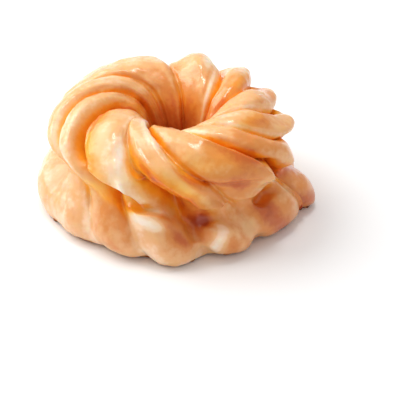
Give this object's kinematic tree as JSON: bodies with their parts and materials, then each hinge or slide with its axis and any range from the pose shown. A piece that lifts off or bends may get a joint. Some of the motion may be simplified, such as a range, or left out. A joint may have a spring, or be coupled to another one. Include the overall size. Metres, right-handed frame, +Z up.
{
  "type": "cruller doughnut",
  "caption": "Glazed ring of fried choux pastry whose piped ridges wind round a central hole, eaten as a sweet snack.",
  "frame": {"origin": "middle of the plan, on the plane the ring rests on", "axes": "+Z up along the hole; -Y towards the side with the swelling at its foot"},
  "size_m": [0.0862, 0.0804, 0.0378],
  "materials": {
    "crust": "golden fried pastry under a thin clear sugar glaze"
  },
  "bodies": {
    "root": {"cruller": "crust"}
  },
  "joints": []
}
